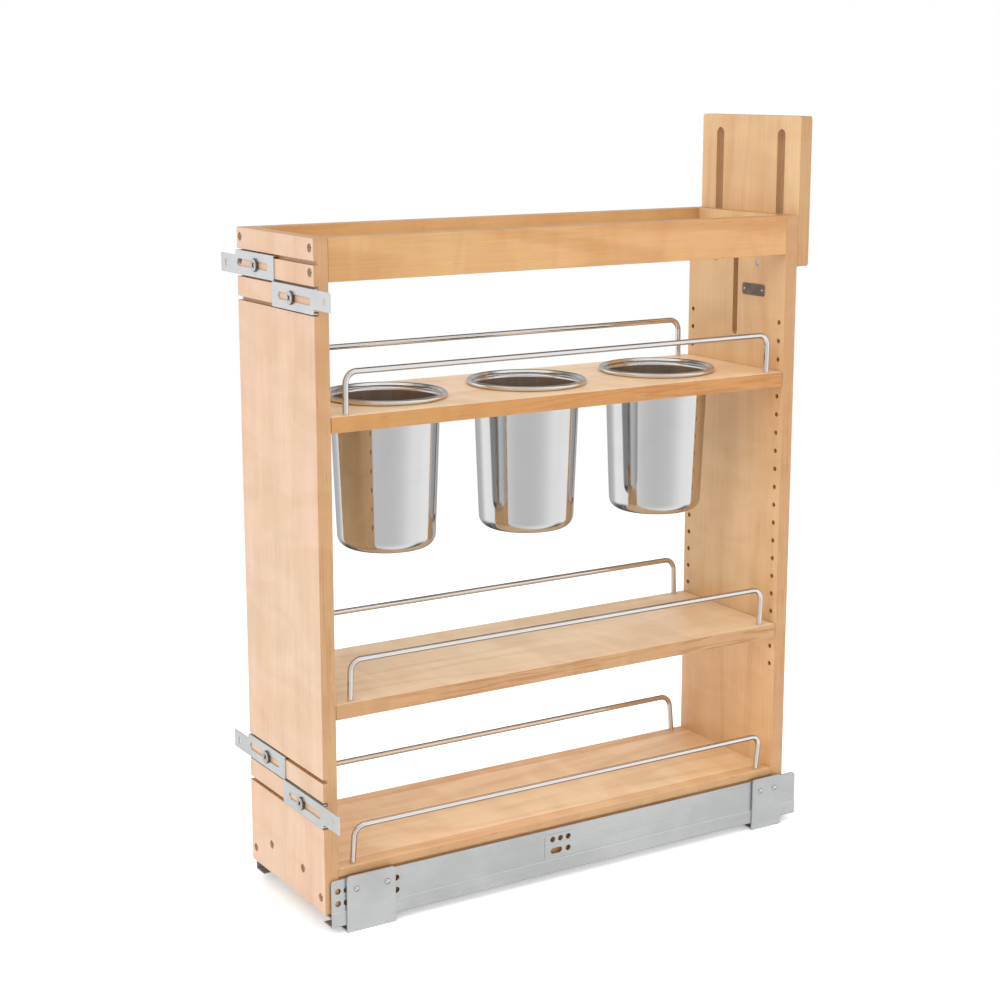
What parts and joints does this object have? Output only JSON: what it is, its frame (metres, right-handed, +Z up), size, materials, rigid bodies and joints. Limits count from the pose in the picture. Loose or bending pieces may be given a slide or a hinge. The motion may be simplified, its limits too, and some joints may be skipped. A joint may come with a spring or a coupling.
{
  "type": "base cabinet pull-out organiser",
  "caption": "Narrow wooden pull-out for a base cabinet: lift-out steel utensil bins over open shelves with wire rails, on soft-close floor slides.",
  "frame": {"origin": "on the cabinet floor, at the middle of the object's width and depth, carriage closed", "axes": "+Z up; the door side faces -Y, so the carriage pulls out along -Y; X runs across the width"},
  "size_m": [0.232, 0.5814, 0.7638],
  "materials": {
    "maple_board": "clear satin lacquer over pale maple",
    "maple_strip": "clear satin lacquer over slightly warmer maple",
    "galvanised_sheet": "smooth zinc-coated sheet steel, satin",
    "zinc_hardware": "zinc-plated steel",
    "bright_hardware": "bright steel, semi-polished",
    "polished_stainless": "polished outside, satin inside",
    "chrome_wire": "bright chrome plating",
    "nylon": "natural nylon",
    "dark_plastic": "moulded dark grey plastic",
    "plate_enamel": "dark bronze paint, satin"
  },
  "bodies": {
    "base": {"slide_profile_left": "galvanised_sheet", "slide_profile_right": "galvanised_sheet", "floor_bracket_front_left": "galvanised_sheet", "floor_bracket_front_right": "galvanised_sheet", "floor_bracket_rear_left": "galvanised_sheet", "floor_bracket_rear_right": "galvanised_sheet", "bracket_rivets": "bright_hardware", "damper_left": "dark_plastic", "damper_right": "dark_plastic"},
    "middle": {"middle_rail_left": "galvanised_sheet", "middle_rail_right": "galvanised_sheet", "rollers_left": "nylon", "rollers_right": "nylon"},
    "carriage": {"runner_left": "galvanised_sheet", "runner_right": "galvanised_sheet", "runner_screws": "zinc_hardware", "front_panel": "maple_board", "rear_panel": "maple_board", "bottom_shelf": "maple_board", "side_cleat_left": "maple_strip", "side_cleat_right": "maple_strip", "cross_cleat_front": "maple_strip", "cross_cleat_rear": "maple_strip", "tray_rail_left": "maple_strip", "tray_rail_right": "maple_strip", "front_screws": "zinc_hardware", "rear_screws": "zinc_hardware", "lock_left": "dark_plastic", "lock_right": "dark_plastic", "utensil_shelf_pins": "zinc_hardware", "mid_shelf_pins": "zinc_hardware", "bottom_rail_left": "chrome_wire", "bottom_rail_right": "chrome_wire", "name_plate": "plate_enamel", "plate_rivets": "bright_hardware", "guide_bolts": "zinc_hardware", "clip_cams": "bright_hardware"},
    "utensil_shelf": {"utensil_shelf": "maple_board", "utensil_rail_left": "chrome_wire", "utensil_rail_right": "chrome_wire"},
    "bin_front": {"bin_front": "polished_stainless"},
    "bin_middle": {"bin_middle": "polished_stainless"},
    "bin_rear": {"bin_rear": "polished_stainless"},
    "mid_shelf": {"mid_shelf": "maple_board", "mid_rail_left": "chrome_wire", "mid_rail_right": "chrome_wire"},
    "height_board": {"height_board": "maple_board", "clamp_bolt": "zinc_hardware"},
    "clip_upper_left": {"clip_upper_left": "galvanised_sheet"},
    "clip_upper_right": {"clip_upper_right": "galvanised_sheet"},
    "clip_lower_left": {"clip_lower_left": "galvanised_sheet"},
    "clip_lower_right": {"clip_lower_right": "galvanised_sheet"}
  },
  "joints": [
    {"name": "carriage_slide", "type": "slide", "parent": "base", "child": "carriage", "axis": [0, -1, 0], "range_m": [0, 0.5]},
    {"name": "middle_slide", "type": "slide", "parent": "base", "child": "middle", "axis": [0, -1, 0], "range_m": [0, 0.25]},
    {"name": "utensil_shelf_lift", "type": "slide", "parent": "carriage", "child": "utensil_shelf", "axis": [0, 0, 1], "range_m": [0, 0.0585]},
    {"name": "bin_front_lift", "type": "slide", "parent": "utensil_shelf", "child": "bin_front", "axis": [0, 0, 1], "range_m": [0, 0.33]},
    {"name": "bin_middle_lift", "type": "slide", "parent": "utensil_shelf", "child": "bin_middle", "axis": [0, 0, 1], "range_m": [0, 0.33]},
    {"name": "bin_rear_lift", "type": "slide", "parent": "utensil_shelf", "child": "bin_rear", "axis": [0, 0, 1], "range_m": [0, 0.33]},
    {"name": "mid_shelf_lift", "type": "slide", "parent": "carriage", "child": "mid_shelf", "axis": [0, 0, 1], "range_m": [0, 0.0585]},
    {"name": "height_board_slide", "type": "slide", "parent": "carriage", "child": "height_board", "axis": [0, 0, 1], "range_m": [-0.093, 0]},
    {"name": "clip_upper_left_shift", "type": "slide", "parent": "carriage", "child": "clip_upper_left", "axis": [-1, 0, 0], "range_m": [-0.03, 0.022]},
    {"name": "clip_upper_right_shift", "type": "slide", "parent": "carriage", "child": "clip_upper_right", "axis": [1, 0, 0], "range_m": [-0.03, 0.022]},
    {"name": "clip_lower_left_shift", "type": "slide", "parent": "carriage", "child": "clip_lower_left", "axis": [-1, 0, 0], "range_m": [-0.03, 0.022]},
    {"name": "clip_lower_right_shift", "type": "slide", "parent": "carriage", "child": "clip_lower_right", "axis": [1, 0, 0], "range_m": [-0.03, 0.022]}
  ],
  "couplings": [
    {"joint": "middle_slide", "follows": "carriage_slide", "ratio": 0.5}
  ]
}
